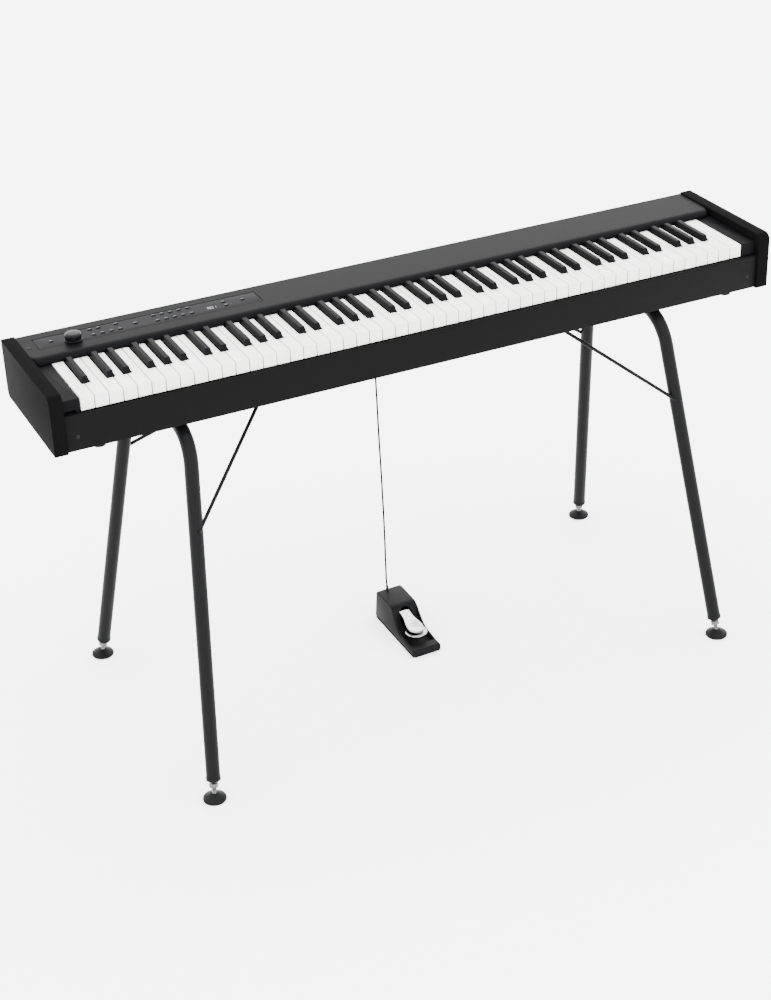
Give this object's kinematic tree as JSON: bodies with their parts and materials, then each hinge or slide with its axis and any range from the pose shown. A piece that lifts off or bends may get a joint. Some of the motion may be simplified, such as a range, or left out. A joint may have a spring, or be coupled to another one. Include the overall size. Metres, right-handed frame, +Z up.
{
  "type": "digital piano on stand",
  "caption": "Slim full-size digital piano with a flat top cover and inset control panel, on two splayed tube frames with thin braces, with a damper pedal on a cord.",
  "frame": {"origin": "on the floor, under the middle of the keyboard and midway between the front and rear feet", "axes": "+X along the keyboard towards the high notes, -Y towards the player, +Z up"},
  "size_m": [1.327, 0.5591, 0.7391],
  "materials": {
    "satin_black_panel": "satin black, finely textured",
    "satin_black_cover": "satin black paint",
    "grey_panel": "dark grey, fine texture",
    "white_key": "semi-gloss white",
    "black_key": "matt black, fine grain",
    "black_steel": "satin black powder coat",
    "foot_disc": "black plastic disc with a zinc-plated stud and nut",
    "rubber": "matt black rubber",
    "black_plastic": "black moulded plastic",
    "chrome": "polished chrome plate",
    "circuit_board": "green solder mask",
    "cord_jacket": "black PVC jacket",
    "smoked_window": "smoked clear window"
  },
  "bodies": {
    "piano": {"balance_rail": "black_steel", "bottom_board": "satin_black_panel", "control_panel": "grey_panel", "cord_relief": "rubber", "display_window": "smoked_window", "front_rail": "satin_black_panel", "key_stop_rail": "black_steel", "left_cheek_block": "satin_black_panel", "left_end_panel": "satin_black_panel", "left_front_brace": "black_steel", "left_front_bumper": "rubber", "left_front_leg": "black_steel", "left_mount_plate": "black_steel", "left_rear_brace": "black_steel", "left_rear_bumper": "rubber", "left_rear_leg": "black_steel", "main_board": "circuit_board", "pedal_cord": "cord_jacket", "pedal_housing": "black_plastic", "pedal_jack": "black_plastic", "pedal_pin": "chrome", "pedal_plug": "black_plastic", "pedal_sole": "rubber", "rear_panel": "satin_black_panel", "right_cheek_block": "satin_black_panel", "right_end_panel": "satin_black_panel", "right_front_brace": "black_steel", "right_front_bumper": "rubber", "right_front_leg": "black_steel", "right_mount_plate": "black_steel", "right_rear_brace": "black_steel", "right_rear_bumper": "rubber", "right_rear_leg": "black_steel", "top_cover": "satin_black_cover"},
    "white_c": {"white_key_c": "white_key"},
    "white_d": {"white_key_d": "white_key"},
    "white_e": {"white_key_e": "white_key"},
    "white_f": {"white_key_f": "white_key"},
    "white_g": {"white_key_g": "white_key"},
    "white_a": {"white_key_a": "white_key"},
    "white_b": {"white_key_b": "white_key"},
    "black_c_sharp": {"black_key_c_sharp": "black_key"},
    "black_d_sharp": {"black_key_d_sharp": "black_key"},
    "black_f_sharp": {"black_key_f_sharp": "black_key"},
    "black_g_sharp": {"black_key_g_sharp": "black_key"},
    "black_a_sharp": {"black_key_a_sharp": "black_key"},
    "low_whites": {"low_white_keys": "white_key"},
    "high_whites": {"high_white_keys": "white_key"},
    "low_blacks": {"low_black_keys": "black_key"},
    "high_blacks": {"high_black_keys": "black_key"},
    "volume_knob": {"volume_knob": "black_plastic"},
    "sound_buttons": {"sound_buttons": "black_plastic"},
    "program_buttons": {"program_buttons": "black_plastic"},
    "step_buttons": {"step_buttons": "black_plastic"},
    "power_button": {"power_button": "black_plastic"},
    "left_front_foot": {"left_front_foot": "foot_disc"},
    "left_rear_foot": {"left_rear_foot": "foot_disc"},
    "right_front_foot": {"right_front_foot": "foot_disc"},
    "right_rear_foot": {"right_rear_foot": "foot_disc"},
    "pedal_lever": {"pedal_lever": "chrome"}
  },
  "joints": [
    {"name": "white_c_hinge", "type": "hinge", "parent": "piano", "child": "white_c", "pos_m": [0, 0.1, 0.7018], "axis": [1, 0, 0], "range_deg": [0, 2.6], "stiffness_Nm_per_rad": 3.6, "springref_deg": -2.98},
    {"name": "white_d_hinge", "type": "hinge", "parent": "piano", "child": "white_d", "pos_m": [0, 0.1, 0.7018], "axis": [1, 0, 0], "range_deg": [0, 2.6], "stiffness_Nm_per_rad": 3.6, "springref_deg": -2.98},
    {"name": "white_e_hinge", "type": "hinge", "parent": "piano", "child": "white_e", "pos_m": [0, 0.1, 0.7018], "axis": [1, 0, 0], "range_deg": [0, 2.6], "stiffness_Nm_per_rad": 3.6, "springref_deg": -2.98},
    {"name": "white_f_hinge", "type": "hinge", "parent": "piano", "child": "white_f", "pos_m": [0, 0.1, 0.7018], "axis": [1, 0, 0], "range_deg": [0, 2.6], "stiffness_Nm_per_rad": 3.6, "springref_deg": -2.98},
    {"name": "white_g_hinge", "type": "hinge", "parent": "piano", "child": "white_g", "pos_m": [0, 0.1, 0.7018], "axis": [1, 0, 0], "range_deg": [0, 2.6], "stiffness_Nm_per_rad": 3.6, "springref_deg": -2.98},
    {"name": "white_a_hinge", "type": "hinge", "parent": "piano", "child": "white_a", "pos_m": [0, 0.1, 0.7018], "axis": [1, 0, 0], "range_deg": [0, 2.6], "stiffness_Nm_per_rad": 3.6, "springref_deg": -2.98},
    {"name": "white_b_hinge", "type": "hinge", "parent": "piano", "child": "white_b", "pos_m": [0, 0.1, 0.7018], "axis": [1, 0, 0], "range_deg": [0, 2.6], "stiffness_Nm_per_rad": 3.6, "springref_deg": -2.98},
    {"name": "black_c_sharp_hinge", "type": "hinge", "parent": "piano", "child": "black_c_sharp", "pos_m": [0, 0.1, 0.7018], "axis": [1, 0, 0], "range_deg": [0, 2.9], "stiffness_Nm_per_rad": 2.6, "springref_deg": -2.98},
    {"name": "black_d_sharp_hinge", "type": "hinge", "parent": "piano", "child": "black_d_sharp", "pos_m": [0, 0.1, 0.7018], "axis": [1, 0, 0], "range_deg": [0, 2.9], "stiffness_Nm_per_rad": 2.6, "springref_deg": -2.98},
    {"name": "black_f_sharp_hinge", "type": "hinge", "parent": "piano", "child": "black_f_sharp", "pos_m": [0, 0.1, 0.7018], "axis": [1, 0, 0], "range_deg": [0, 2.9], "stiffness_Nm_per_rad": 2.6, "springref_deg": -2.98},
    {"name": "black_g_sharp_hinge", "type": "hinge", "parent": "piano", "child": "black_g_sharp", "pos_m": [0, 0.1, 0.7018], "axis": [1, 0, 0], "range_deg": [0, 2.9], "stiffness_Nm_per_rad": 2.6, "springref_deg": -2.98},
    {"name": "black_a_sharp_hinge", "type": "hinge", "parent": "piano", "child": "black_a_sharp", "pos_m": [0, 0.1, 0.7018], "axis": [1, 0, 0], "range_deg": [0, 2.9], "stiffness_Nm_per_rad": 2.6, "springref_deg": -2.98},
    {"name": "low_whites_hinge", "type": "hinge", "parent": "piano", "child": "low_whites", "pos_m": [0, 0.1, 0.7018], "axis": [1, 0, 0], "range_deg": [0, 2.6], "stiffness_Nm_per_rad": 80, "springref_deg": -2.98},
    {"name": "high_whites_hinge", "type": "hinge", "parent": "piano", "child": "high_whites", "pos_m": [0, 0.1, 0.7018], "axis": [1, 0, 0], "range_deg": [0, 2.6], "stiffness_Nm_per_rad": 76, "springref_deg": -2.98},
    {"name": "low_blacks_hinge", "type": "hinge", "parent": "piano", "child": "low_blacks", "pos_m": [0, 0.1, 0.7018], "axis": [1, 0, 0], "range_deg": [0, 2.9], "stiffness_Nm_per_rad": 42, "springref_deg": -2.98},
    {"name": "high_blacks_hinge", "type": "hinge", "parent": "piano", "child": "high_blacks", "pos_m": [0, 0.1, 0.7018], "axis": [1, 0, 0], "range_deg": [0, 2.9], "stiffness_Nm_per_rad": 40, "springref_deg": -2.98},
    {"name": "volume_turn", "type": "hinge", "parent": "piano", "child": "volume_knob", "pos_m": [-0.559, 0.069, 0.7249], "axis": [0, 0, -1], "range_deg": [-135, 135]},
    {"name": "sound_buttons_press", "type": "slide", "parent": "piano", "child": "sound_buttons", "axis": [0, 0, -1], "range_m": [0, 0.0005], "stiffness_N_per_m": 1000, "springref_m": -0.0005},
    {"name": "program_buttons_press", "type": "slide", "parent": "piano", "child": "program_buttons", "axis": [0, 0, -1], "range_m": [0, 0.0005], "stiffness_N_per_m": 1000, "springref_m": -0.0005},
    {"name": "step_buttons_press", "type": "slide", "parent": "piano", "child": "step_buttons", "axis": [0, 0, -1], "range_m": [0, 0.0005], "stiffness_N_per_m": 1000, "springref_m": -0.0005},
    {"name": "power_button_press", "type": "slide", "parent": "piano", "child": "power_button", "axis": [0, 0, -1], "range_m": [0, 0.0005], "stiffness_N_per_m": 1000, "springref_m": -0.0005},
    {"name": "left_front_foot_screw", "type": "slide", "parent": "piano", "child": "left_front_foot", "axis": [-0.0938, -0.2155, -0.972], "range_m": [0, 0.008]},
    {"name": "left_rear_foot_screw", "type": "slide", "parent": "piano", "child": "left_rear_foot", "axis": [-0.1129, 0.2061, -0.972], "range_m": [0, 0.008]},
    {"name": "right_front_foot_screw", "type": "slide", "parent": "piano", "child": "right_front_foot", "axis": [0.1009, -0.2123, -0.972], "range_m": [0, 0.008]},
    {"name": "right_rear_foot_screw", "type": "slide", "parent": "piano", "child": "right_rear_foot", "axis": [0.106, 0.2098, -0.972], "range_m": [0, 0.008]},
    {"name": "pedal_press", "type": "hinge", "parent": "piano", "child": "pedal_lever", "pos_m": [0.00328, 0.08497, 0.036], "axis": [0.9997, 0.0262, 0], "range_deg": [0, 8], "stiffness_Nm_per_rad": 7, "springref_deg": -4.01}
  ]
}
